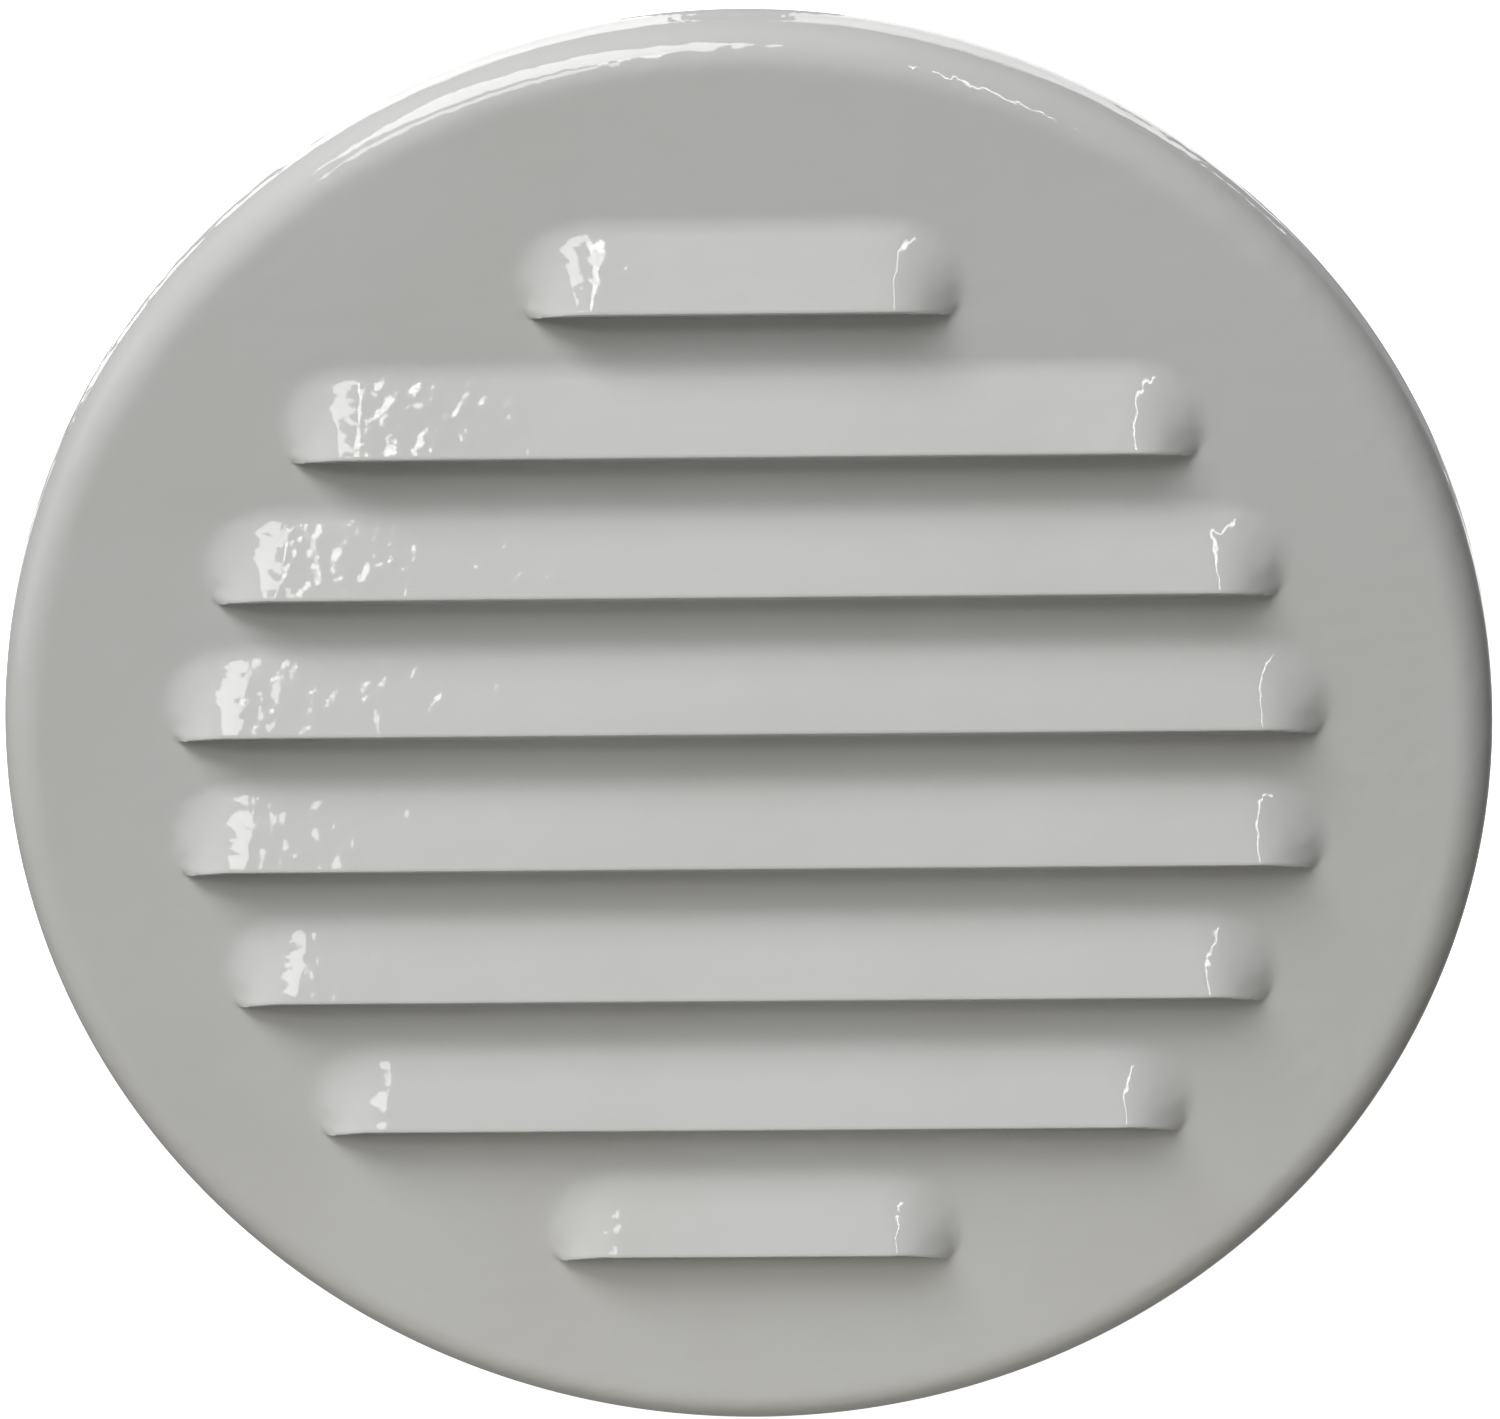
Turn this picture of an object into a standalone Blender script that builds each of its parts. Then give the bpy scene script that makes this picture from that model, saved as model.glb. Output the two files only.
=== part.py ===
"""Round louvred ventilation cover, 160 mm across, that clips into a 125 mm duct.

Metres, +Z up. The wall is the plane Y = 0, the face looks along -Y, and the duct runs along +Y.
The origin is the centre of the rim's back edge. Each piece is drawn in the cover's own frame,
whose X is right, whose Y is up and whose Z points out of the wall.
"""

import math

import bmesh
import bpy
from mathutils import Vector

GAP = 0.0003  # clearance between pieces that touch

# Face plate
SHEET = 0.001
COVER_RADIUS = 0.080
RIM_DEPTH = 0.0075
RIM_ROLL = 0.0045
RIM_FLARE = 0.0004
ROLL_STEPS = 5
ROUND_STEPS = 72
SMALL_STEPS = 20
RIVET_STEPS = 12
CREASE = math.radians(32)

# Louvres, from the top row down
ROWS = 8
ROW_PITCH = 0.1919 * COVER_RADIUS
FIRST_LIP = 0.6188 * COVER_RADIUS
HALF_LENGTHS = [share * COVER_RADIUS for share in (0.272, 0.585, 0.695, 0.757)]
HOOD_HEIGHT = 0.0043
HOOD_RUN = 0.0086
HOOD_CHEEK = 0.0056
LIP_ARCH = 0.0018
SLIT = 0.0003
CHEEK_STEPS = 4
SPAN_STEPS = 4

# Mesh, collar and gasket
MESH_THICKNESS = 0.0005
MESH_RADIUS = 0.0695
COLLAR_RADIUS = 0.060
COLLAR_SHEET = 0.0008
COLLAR_DEPTH = 0.0390
COLLAR_TAPER = 0.0015
FLANGE_RADIUS = 0.070
FLANGE_BEND = 0.0008
GASKET_INNER = 0.0708
GASKET_OUTER = 0.0752

# Studs, washers and nuts
STUD_CIRCLE = 0.066
STUD_COUNT = 4
STUD_RADIUS = 0.0015
STUD_BASE_RADIUS = 0.0022
STUD_BASE = 0.0005
STUD_END = 0.0006
WASHER_RADIUS = 0.0035
WASHER_THICKNESS = 0.0005
NUT_ACROSS_FLATS = 0.0055
NUT_HEIGHT = 0.0024
THREAD_HOLE_RADIUS = STUD_RADIUS + 0.0001

# Clips
CLIP_ANGLES = [math.radians(angle) for angle in (90, 210, 330)]
CLIP_SHEET = 0.0008
PIVOT_RADIAL = 0.052
PIVOT_DEPTH = 0.024
ARM_ANGLE = math.radians(45)
ARM_LENGTH = 0.020
ARM_HALF_WIDTH = 0.0040
ARM_BACK = 0.0040
ARM_EYE = 0.0029
ARM_EYE_SWEEP = (165, 360)
ARM_TIP = 0.0026
EYE_STEPS = 9
BRACKET_HALF_WIDTH = 0.0054
BRACKET_BASE = 0.0584
BRACKET_FRONT = 0.0270
BRACKET_REAR = 0.0366
BRACKET_EYE = 0.0034
BRACKET_EYE_SWEEP = (50, 200)
RIVET_DEPTHS = (0.0293, 0.0341)
RIVET_RADIUS = 0.0012
RIVET_HEAD_RADIUS = 0.0022
RIVET_HEAD = 0.0008
RIVET_TAIL_RADIUS = 0.0015
DOME_STEPS = 4
PIN_RADIUS = 0.0015
PIN_HOLE_RADIUS = PIN_RADIUS + 0.0001
PIN_HEAD_RADIUS = 0.0024
PIN_HEAD = 0.0008
PIN_WASHER_RADIUS = 0.0029
PIN_WASHER = 0.0005
PIN_END = 0.0010
WIRE_RADIUS = 0.0004
COIL_RADIUS = 0.0023
COIL_HALF_SPAN = 0.0023
COIL_STEPS = 10
COIL_TURNS = 4
ARM_LEG = 0.011
TAIL_DEPTH = 0.0075
TAIL_RISE = 0.0046
SLEEVE_START = 0.0145
SLEEVE_WALL = 0.0007
SLEEVE_ROUNDING = 0.0006
SLEEVE_INNER = 0.0008
SLOT_FRONT = 0.0026
SLOT_REAR = 0.0229
SLOT_HALF_WIDTH = 0.0056

PLATE_FRONT = RIM_DEPTH
PLATE_BACK = PLATE_FRONT - SHEET
MESH_FRONT = PLATE_BACK - GAP
MESH_BACK = MESH_FRONT - MESH_THICKNESS
FLANGE_FRONT = MESH_BACK - GAP
FLANGE_BACK = FLANGE_FRONT - COLLAR_SHEET
WASHER_FRONT = FLANGE_BACK - GAP
WASHER_BACK = WASHER_FRONT - WASHER_THICKNESS
NUT_FRONT = WASHER_BACK - GAP
NUT_BACK = NUT_FRONT - NUT_HEIGHT
COLLAR_BORE = COLLAR_RADIUS - COLLAR_SHEET

# Cutters
THROUGH_SHEET = 0.010
THROUGH_RIVETED = 0.004
THROUGH_CLIP = 0.020
OVERSHOOT = 0.002

PARTS = "louvred_vent_cover"
CUTTERS = "cutters"
MERGE = 0.00001
TURN = math.tau


def clear_scene():
    """Removes every object that the scene starts with."""
    for thing in list(bpy.data.objects):
        bpy.data.objects.remove(thing, do_unlink=True)


def new_collection(name):
    collection = bpy.data.collections.new(name)
    bpy.context.scene.collection.children.link(collection)
    return collection


def new_material(name, colour, roughness, metallic):
    """A Principled material with one colour and finish."""
    material = bpy.data.materials.new(name)
    material.use_nodes = True
    shader = material.node_tree.nodes["Principled BSDF"]
    shader.inputs["Base Color"].default_value = (*colour, 1.0)
    shader.inputs["Roughness"].default_value = roughness
    shader.inputs["Metallic"].default_value = metallic
    material.diffuse_color = (*colour, 1.0)
    return material


def new_empty(name, parent=None, place=(0, 0, 0), turn=(0, 0, 0)):
    empty = bpy.data.objects.new(name, None)
    empty.empty_display_size = 0.01
    empty.location = place
    empty.rotation_euler = turn
    empty.parent = parent
    bpy.data.collections[PARTS].objects.link(empty)
    return empty


def add_object(name, data, parent, collection=PARTS):
    """Links a new object, parented in the frame of its parent."""
    thing = bpy.data.objects.new(name, data)
    thing.parent = parent
    bpy.data.collections[collection].objects.link(thing)
    if collection == CUTTERS:
        thing.hide_render = True
        thing.display_type = "WIRE"
    return thing


def mesh_of(name, blocks):
    mesh = bpy.data.meshes.new(name)
    blocks.to_mesh(mesh)
    blocks.free()
    return mesh


def turned(name, profile, steps, parent, collection=PARTS):
    """A closed (radius, height) profile, top to bottom down its outer side, turned about Z."""
    blocks = bmesh.new()
    points = [blocks.verts.new((radius, 0, height)) for radius, height in profile]
    for start, end in zip(points, points[1:]):
        blocks.edges.new((start, end))
    if profile[0][0] > MERGE:
        blocks.edges.new((points[-1], points[0]))
    thing = add_object(name, mesh_of(name, blocks), parent, collection)
    screw = thing.modifiers.new("turn", "SCREW")
    screw.axis = "Z"
    screw.angle = TURN
    screw.steps = steps
    screw.render_steps = steps
    screw.use_merge_vertices = True
    screw.merge_threshold = MERGE
    return thing


def outlined(name, points, half_width, parent, collection=PARTS):
    """A flat outline in the X-Z plane of the parent, as thick as twice half_width along Y."""
    curve = bpy.data.curves.new(name, "CURVE")
    curve.dimensions = "2D"
    curve.fill_mode = "BOTH"
    curve.extrude = half_width
    spline = curve.splines.new("POLY")
    spline.points.add(len(points) - 1)
    for point, (across, along) in zip(spline.points, points):
        point.co = (across, along, 0, 1)
    spline.use_cyclic_u = True
    thing = add_object(name, curve, parent, collection)
    thing.rotation_euler = (TURN / 4, 0, 0)
    return as_mesh(thing)


def as_mesh(thing):
    """The object with its curve or its modifiers made one welded mesh."""
    bpy.context.view_layer.update()
    graph = bpy.context.evaluated_depsgraph_get()
    mesh = bpy.data.meshes.new_from_object(thing.evaluated_get(graph))
    blocks = bmesh.new()
    blocks.from_mesh(mesh)
    bmesh.ops.remove_doubles(blocks, verts=blocks.verts, dist=MERGE / 10)
    blocks.to_mesh(mesh)
    blocks.free()
    name = thing.name
    collection = thing.users_collection[0].name
    parent = thing.parent
    place = thing.matrix_basis.copy()
    bpy.data.objects.remove(thing, do_unlink=True)
    mesh.name = name
    solid = add_object(name, mesh, parent, collection)
    solid.matrix_basis = place
    return solid


def cylinder(name, radius, length, parent, place, turn=(0, 0, 0), steps=SMALL_STEPS):
    """A cutter whose axis is the local Z, centred on its place."""
    blocks = bmesh.new()
    bmesh.ops.create_cone(
        blocks, cap_ends=True, segments=steps, radius1=radius, radius2=radius, depth=length
    )
    thing = add_object(name, mesh_of(name, blocks), parent, CUTTERS)
    thing.location = place
    thing.rotation_euler = turn
    return thing


def box(name, low, high, parent, collection=PARTS):
    """A box between two corners in the frame of its parent."""
    low = Vector(low)
    high = Vector(high)
    blocks = bmesh.new()
    bmesh.ops.create_cube(blocks, size=1)
    bmesh.ops.scale(blocks, vec=high - low, verts=blocks.verts)
    bmesh.ops.translate(blocks, vec=(low + high) / 2, verts=blocks.verts)
    return add_object(name, mesh_of(name, blocks), parent, collection)


def combine(thing, other, operation):
    boolean = thing.modifiers.new(other.name, "BOOLEAN")
    boolean.operation = operation
    boolean.object = other
    return thing


def cut(thing, *cutters):
    for cutter in cutters:
        combine(thing, cutter, "DIFFERENCE")
    return thing


def finish(thing, material):
    """Makes the piece one mesh, smooth but for its creases, in its material."""
    solid = as_mesh(thing)
    solid.data.materials.clear()
    solid.data.materials.append(material)
    solid.data.shade_smooth()
    solid.data.set_sharp_from_angle(angle=CREASE)


def arc(centre, radius, start, end, steps):
    """Points from one angle to another, in degrees, both ends included."""
    angles = [math.radians(start + (end - start) * step / steps) for step in range(steps + 1)]
    return [(centre[0] + radius * math.cos(a), centre[1] + radius * math.sin(a)) for a in angles]


def around(count, radius, first):
    """Places on a circle about the cover's axis, from the first angle on."""
    angles = [first + TURN * step / count for step in range(count)]
    return [(radius * math.cos(angle), radius * math.sin(angle)) for angle in angles]


def row_half_length(row):
    """Half of a lip's length: the rows are the same above and below the centre."""
    return HALF_LENGTHS[min(row, ROWS - 1 - row)]


def hood_sections(half_length, inset):
    """(x, share) along a hood, where share is its height there over its full height.

    The ends are quarter rounds, and inset draws the whole hood in at both of them.
    """
    reach = half_length - inset
    flat = reach - HOOD_CHEEK
    turns = [math.pi / 2 * step / CHEEK_STEPS for step in range(CHEEK_STEPS + 1)]
    right = [(flat + HOOD_CHEEK * math.sin(turn), math.cos(turn)) for turn in turns]
    left = [(-x, share) for x, share in reversed(right)]
    middle = [(flat * (2 * step / SPAN_STEPS - 1), 1.0) for step in range(1, SPAN_STEPS)]
    return left + middle + right


def add_hood(blocks, row, inset, drop, front, floor):
    """Lofts one hood along X: each section is a triangle or wedge that stands on the floor height."""
    half_length = row_half_length(row)
    lip = FIRST_LIP - row * ROW_PITCH
    slope = HOOD_HEIGHT / HOOD_RUN
    rings = []
    for x, share in hood_sections(half_length, inset):
        arch = LIP_ARCH * (1 - (x / half_length) ** 2)
        top = PLATE_FRONT + HOOD_HEIGHT * share - drop
        near = lip + arch - front
        far = near + (top - floor) / slope
        corners = [(near, floor), (near, top), (far, floor)]
        rings.append([blocks.verts.new((x, y, z)) for y, z in corners])
    for ring, following in zip(rings, rings[1:]):
        for side in range(len(ring)):
            after = (side + 1) % len(ring)
            blocks.faces.new((ring[side], following[side], following[after], ring[after]))
    blocks.faces.new(rings[0])
    blocks.faces.new(reversed(rings[-1]))


def hoods(name, inset, drop, front, floor):
    """All the rows' hoods in one cutter object."""
    blocks = bmesh.new()
    for row in range(ROWS):
        add_hood(blocks, row, inset, drop, front, floor)
    bmesh.ops.recalc_face_normals(blocks, faces=blocks.faces)
    return add_object(name, mesh_of(name, blocks), bpy.data.objects["wall_plane"], CUTTERS)


def make_face_plate(frame, paint):
    """A dished disc with a rolled rim, and eight hoods lanced out of it and open downwards."""
    roll_centre = (COVER_RADIUS - RIM_FLARE - RIM_ROLL, PLATE_FRONT - RIM_ROLL)
    outer = arc(roll_centre, RIM_ROLL, 90, 0, ROLL_STEPS)
    inner = arc(roll_centre, RIM_ROLL - SHEET, 0, 90, ROLL_STEPS)
    edge = [(COVER_RADIUS, 0), (COVER_RADIUS - SHEET, 0)]
    profile = [(0, PLATE_FRONT)] + outer + edge + inner + [(0, PLATE_BACK)]
    plate = turned("face_plate", profile, ROUND_STEPS, frame)
    blanks = hoods("hood_blanks", inset=0, drop=0, front=0, floor=PLATE_FRONT - SHEET / 2)
    wall = SHEET / math.cos(math.atan(HOOD_HEIGHT / HOOD_RUN))
    cavities = hoods("hood_cavities", inset=SHEET, drop=wall, front=SLIT, floor=PLATE_BACK - SHEET)
    combine(plate, blanks, "UNION")
    cut(plate, cavities)
    finish(plate, paint)


def make_insect_mesh(frame, wire):
    """A disc with a hole for each stud's base."""
    profile = [(0, MESH_FRONT), (MESH_RADIUS, MESH_FRONT), (MESH_RADIUS, MESH_BACK), (0, MESH_BACK)]
    screen = turned("insect_mesh", profile, ROUND_STEPS, frame)
    for index, (x, y) in enumerate(around(STUD_COUNT, STUD_CIRCLE, TURN / 8)):
        radius = STUD_BASE_RADIUS + GAP
        spot = (x, y, MESH_BACK)
        cut(screen, cylinder(f"mesh_hole_{index}", radius, THROUGH_SHEET, frame, spot))
    finish(screen, wire)


def make_collar(frame, zinc):
    """A flanged sleeve, with slots for the clip arms and holes for the rivets and studs."""
    bend = COLLAR_RADIUS + FLANGE_BEND
    tube_end = COLLAR_TAPER - COLLAR_DEPTH
    profile = [
        (COLLAR_BORE, FLANGE_FRONT),
        (FLANGE_RADIUS, FLANGE_FRONT),
        (FLANGE_RADIUS, FLANGE_BACK),
        (bend, FLANGE_BACK),
        (COLLAR_RADIUS, FLANGE_BACK - FLANGE_BEND),
        (COLLAR_RADIUS, tube_end),
        (COLLAR_BORE, -COLLAR_DEPTH),
        (COLLAR_BORE - COLLAR_SHEET, -COLLAR_DEPTH),
        (COLLAR_BORE, tube_end),
    ]
    collar = turned("spigot_collar", profile, ROUND_STEPS, frame)
    for index, (x, y) in enumerate(around(STUD_COUNT, STUD_CIRCLE, TURN / 8)):
        radius = STUD_RADIUS + GAP
        spot = (x, y, FLANGE_BACK)
        cut(collar, cylinder(f"flange_hole_{index}", radius, THROUGH_SHEET, frame, spot))
    for number, clip in enumerate(clip_frames(), 1):
        slot = box(
            f"arm_slot_{number}",
            (COLLAR_BORE - OVERSHOOT, -SLOT_HALF_WIDTH, -SLOT_REAR),
            (COLLAR_RADIUS + OVERSHOOT, SLOT_HALF_WIDTH, -SLOT_FRONT),
            clip,
            CUTTERS,
        )
        cut(collar, slot, *rivet_holes(clip, number, "collar", COLLAR_RADIUS))
    finish(collar, zinc)


def make_gasket(frame, foam):
    """A flat ring between the plate's back and the wall."""
    top = PLATE_BACK - GAP
    profile = [(GASKET_INNER, top), (GASKET_OUTER, top), (GASKET_OUTER, 0), (GASKET_INNER, 0)]
    finish(turned("rim_gasket", profile, ROUND_STEPS, frame), foam)


def make_stud_set(frame, number, place, steel, zinc):
    """One stud with its base on the plate, its washer and its nut."""
    spot = new_empty(f"stud_place_{number}", frame, (*place, 0))
    base_back = MESH_FRONT - STUD_BASE
    stud_profile = [
        (0, MESH_FRONT),
        (STUD_BASE_RADIUS, MESH_FRONT),
        (STUD_BASE_RADIUS, base_back),
        (STUD_RADIUS, base_back),
        (STUD_RADIUS, STUD_END + GAP),
        (STUD_RADIUS - GAP, STUD_END),
        (0, STUD_END),
    ]
    finish(turned(f"weld_stud_{number}", stud_profile, SMALL_STEPS, spot), steel)
    bore = STUD_RADIUS + GAP
    washer_profile = [
        (bore, WASHER_FRONT),
        (WASHER_RADIUS, WASHER_FRONT),
        (WASHER_RADIUS, WASHER_BACK),
        (bore, WASHER_BACK),
    ]
    finish(turned(f"stud_washer_{number}", washer_profile, SMALL_STEPS, spot), zinc)
    make_nut(spot, number, zinc)


def make_nut(spot, number, zinc):
    """A hexagon with its corners chamfered by a turned cap."""
    corner = NUT_ACROSS_FLATS / 2 / math.cos(TURN / 12)
    middle = (NUT_FRONT + NUT_BACK) / 2
    blocks = bmesh.new()
    bmesh.ops.create_cone(
        blocks, cap_ends=True, segments=6, radius1=corner, radius2=corner, depth=NUT_HEIGHT
    )
    bmesh.ops.translate(blocks, vec=(0, 0, middle), verts=blocks.verts)
    name = f"stud_nut_{number}"
    nut = add_object(name, mesh_of(name, blocks), spot)
    flat = NUT_ACROSS_FLATS / 2
    overhang = corner - flat + GAP
    cap_profile = [
        (0, NUT_FRONT + GAP),
        (flat - GAP, NUT_FRONT + GAP),
        (corner + GAP, NUT_FRONT - overhang / 2),
        (corner + GAP, NUT_BACK + overhang / 2),
        (flat - GAP, NUT_BACK - GAP),
        (0, NUT_BACK - GAP),
    ]
    cap = turned(f"nut_cap_{number}", cap_profile, SMALL_STEPS, spot, CUTTERS)
    combine(nut, cap, "INTERSECT")
    bore = cylinder(f"nut_hole_{number}", THREAD_HOLE_RADIUS, THROUGH_SHEET, spot, (0, 0, middle))
    cut(nut, bore)
    finish(nut, zinc)


def clip_frames():
    """The empties that the clips are built in: X runs outward, Y along the pivot, Z to the face."""
    return [bpy.data.objects[f"clip_place_{number}"] for number in range(1, len(CLIP_ANGLES) + 1)]


def rivet_holes(clip, number, owner, radial):
    """Cutters for a clip's two rivets, through the wall at this distance from the axis."""
    return [
        cylinder(
            f"{owner}_rivet_hole_{number}_{index}",
            RIVET_RADIUS + GAP,
            THROUGH_RIVETED,
            clip,
            (radial, 0, -depth),
            (0, TURN / 4, 0),
            RIVET_STEPS,
        )
        for index, depth in enumerate(RIVET_DEPTHS)
    ]


def make_bracket(clip, number, zinc):
    """A folded channel: a base on the collar's bore and two ears that hold the pivot pin."""
    pivot = (PIVOT_RADIAL, -PIVOT_DEPTH)
    outline = [(BRACKET_BASE, -BRACKET_REAR), (BRACKET_BASE, -BRACKET_FRONT + CLIP_SHEET)]
    outline += arc(pivot, BRACKET_EYE, *BRACKET_EYE_SWEEP, EYE_STEPS)
    outline += [(pivot[0] - BRACKET_EYE / 2, -BRACKET_REAR)]
    name = f"clip_bracket_{number}"
    bracket = outlined(name, outline, BRACKET_HALF_WIDTH, clip)
    low = PIVOT_RADIAL - 2 * BRACKET_EYE
    high = BRACKET_BASE + OVERSHOOT
    shelf = BRACKET_BASE - CLIP_SHEET
    window = [
        (high, -PIVOT_DEPTH + 2 * BRACKET_EYE),
        (high, -BRACKET_FRONT),
        (shelf, -BRACKET_FRONT),
        (shelf, -BRACKET_REAR - OVERSHOOT),
        (low, -BRACKET_REAR - OVERSHOOT),
        (low, -PIVOT_DEPTH + 2 * BRACKET_EYE),
    ]
    inside = outlined(
        f"bracket_window_{number}", window, BRACKET_HALF_WIDTH - CLIP_SHEET, clip, CUTTERS
    )
    pin_hole = cylinder(
        f"bracket_pin_hole_{number}",
        PIN_HOLE_RADIUS,
        THROUGH_CLIP,
        clip,
        (PIVOT_RADIAL, 0, -PIVOT_DEPTH),
        (TURN / 4, 0, 0),
    )
    cut(bracket, inside, pin_hole, *rivet_holes(clip, number, "bracket", shelf))
    finish(bracket, zinc)


def make_rivets(clip, number, steel):
    """Two rivets through the collar and the bracket's base, with a dome outside and a tail inside."""
    head_base = COLLAR_RADIUS + GAP
    tail_top = BRACKET_BASE - CLIP_SHEET - GAP
    dome = [
        (RIVET_HEAD_RADIUS * math.sin(a), head_base + RIVET_HEAD * math.cos(a))
        for a in [TURN / 4 * step / DOME_STEPS for step in range(DOME_STEPS + 1)]
    ]
    shank = [(RIVET_RADIUS, head_base), (RIVET_RADIUS, tail_top)]
    tail_end = tail_top - RIVET_HEAD
    tail = [
        (RIVET_TAIL_RADIUS, tail_top),
        (RIVET_TAIL_RADIUS, tail_end + GAP),
        (RIVET_TAIL_RADIUS - GAP, tail_end),
        (0, tail_end),
    ]
    for letter, depth in zip("ab", RIVET_DEPTHS):
        rivet = turned(f"rivet_{letter}_{number}", dome + shank + tail, RIVET_STEPS, clip)
        rivet.location = (0, 0, -depth)
        rivet.rotation_euler = (0, TURN / 4, 0)
        finish(rivet, steel)


def make_pin(clip, number, steel):
    """The pivot pin, headed at one end."""
    head_base = BRACKET_HALF_WIDTH + GAP
    end = -(head_base + PIN_WASHER + PIN_END)
    profile = [
        (0, head_base + PIN_HEAD),
        (PIN_HEAD_RADIUS, head_base + PIN_HEAD),
        (PIN_HEAD_RADIUS, head_base),
        (PIN_RADIUS, head_base),
        (PIN_RADIUS, end + GAP),
        (PIN_RADIUS - GAP, end),
        (0, end),
    ]
    pin = turned(f"pivot_pin_{number}", profile, SMALL_STEPS, clip)
    pin.location = (PIVOT_RADIAL, 0, -PIVOT_DEPTH)
    pin.rotation_euler = (TURN / 4, 0, 0)
    finish(pin, steel)


def make_pin_washer(clip, number, steel):
    """The push-on washer that keeps the pin in its bracket."""
    top = -(BRACKET_HALF_WIDTH + GAP)
    bottom = top - PIN_WASHER
    profile = [
        (PIN_HOLE_RADIUS, top),
        (PIN_WASHER_RADIUS, top),
        (PIN_WASHER_RADIUS, bottom),
        (PIN_HOLE_RADIUS, bottom),
    ]
    washer = turned(f"pin_washer_{number}", profile, SMALL_STEPS, clip)
    washer.location = (PIVOT_RADIAL, 0, -PIVOT_DEPTH)
    washer.rotation_euler = (TURN / 4, 0, 0)
    finish(washer, steel)


def make_arm(pivot, number, steel):
    """A folded lever: a web on its outer side and two cheeks that turn on the pin.

    In the pivot's frame Z runs along the arm and X away from the duct's axis.
    """
    heel = ARM_EYE - CLIP_SHEET
    outline = [(ARM_BACK, heel), (ARM_BACK, ARM_LENGTH), (ARM_TIP, ARM_LENGTH)]
    outline += [(-ARM_EYE / 3, ARM_EYE * 2)]
    outline += arc((0, 0), ARM_EYE, *ARM_EYE_SWEEP, EYE_STEPS)
    arm = outlined(f"clip_arm_{number}", outline, ARM_HALF_WIDTH, pivot)
    web = ARM_BACK - CLIP_SHEET
    reach = ARM_LENGTH + OVERSHOOT
    gutter = [
        (web, reach),
        (-2 * ARM_EYE, reach),
        (-2 * ARM_EYE, -2 * ARM_EYE),
        (ARM_BACK + OVERSHOOT, -2 * ARM_EYE),
        (ARM_BACK + OVERSHOOT, heel - GAP),
        (web, heel - GAP),
    ]
    inside = outlined(
        f"arm_gutter_{number}", gutter, ARM_HALF_WIDTH - CLIP_SHEET, pivot, CUTTERS
    )
    hole = cylinder(
        f"arm_pin_hole_{number}", PIN_HOLE_RADIUS, THROUGH_CLIP, pivot, (0, 0, 0), (TURN / 4, 0, 0)
    )
    finish(cut(arm, inside, hole), steel)


def make_sleeve(pivot, number, rubber):
    """A boot over the end of the arm, closed at the tip."""
    inner_low = (SLEEVE_INNER, -ARM_HALF_WIDTH - GAP, SLEEVE_START - SLEEVE_WALL)
    inner_high = (ARM_BACK + GAP, ARM_HALF_WIDTH + GAP, ARM_LENGTH + GAP)
    outer_low = (inner_low[0] - SLEEVE_WALL, inner_low[1] - SLEEVE_WALL, SLEEVE_START)
    outer_high = [side + SLEEVE_WALL for side in inner_high]
    sleeve = box(f"tip_sleeve_{number}", outer_low, outer_high, pivot)
    rounding = sleeve.modifiers.new("rounding", "BEVEL")
    rounding.width = SLEEVE_ROUNDING
    rounding.segments = 2
    pocket = box(f"sleeve_pocket_{number}", inner_low, inner_high, pivot, CUTTERS)
    finish(cut(sleeve, pocket), rubber)


def spring_path():
    """The wire's centre line in the clip's frame, about the pivot.

    It runs down the inside of the arm's web, winds round the pin and leaves for the bracket's
    base. The coil starts square to the arm and ends where a line to the tail's end leaves it.
    """
    tail_end = Vector((TAIL_RISE, -TAIL_DEPTH))
    tail_angle = math.atan2(tail_end.y, tail_end.x) + math.acos(COIL_RADIUS / tail_end.length)
    start_angle = -ARM_ANGLE
    sweep = TURN * COIL_TURNS + start_angle - tail_angle
    steps = round(COIL_STEPS * sweep / TURN)
    along = Vector((math.sin(ARM_ANGLE), math.cos(ARM_ANGLE)))
    square = Vector((math.cos(ARM_ANGLE), -math.sin(ARM_ANGLE)))
    path = []
    for share in (1.0, 0.5):
        spot = square * COIL_RADIUS + along * ARM_LEG * share
        path.append((spot.x, COIL_HALF_SPAN, spot.y))
    for step in range(steps + 1):
        angle = start_angle - sweep * step / steps
        side = COIL_HALF_SPAN * (1 - 2 * step / steps)
        path.append((COIL_RADIUS * math.cos(angle), side, COIL_RADIUS * math.sin(angle)))
    path.append((tail_end.x, -COIL_HALF_SPAN, tail_end.y))
    return path


def make_spring(clip, number, spring_steel):
    """The torsion spring: a round wire of which one leg pushes the arm out."""
    name = f"torsion_spring_{number}"
    curve = bpy.data.curves.new(name, "CURVE")
    curve.dimensions = "3D"
    curve.bevel_depth = WIRE_RADIUS
    curve.bevel_resolution = 2
    curve.use_fill_caps = True
    path = spring_path()
    spline = curve.splines.new("POLY")
    spline.points.add(len(path) - 1)
    for point, place in zip(spline.points, path):
        point.co = (*place, 1)
    wire = add_object(name, curve, clip)
    wire.location = (PIVOT_RADIAL, 0, -PIVOT_DEPTH)
    finish(wire, spring_steel)


def make_clip(clip, number, finishes):
    """One sprung clip: everything but the arm and its boot stays with the collar."""
    pivot = new_empty(
        f"arm_pivot_{number}", clip, (PIVOT_RADIAL, 0, -PIVOT_DEPTH), (0, ARM_ANGLE, 0)
    )
    make_bracket(clip, number, finishes["zinc"])
    make_rivets(clip, number, finishes["steel"])
    make_pin(clip, number, finishes["steel"])
    make_pin_washer(clip, number, finishes["spring"])
    make_spring(clip, number, finishes["spring"])
    make_arm(pivot, number, finishes["zinc"])
    make_sleeve(pivot, number, finishes["rubber"])


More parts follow.
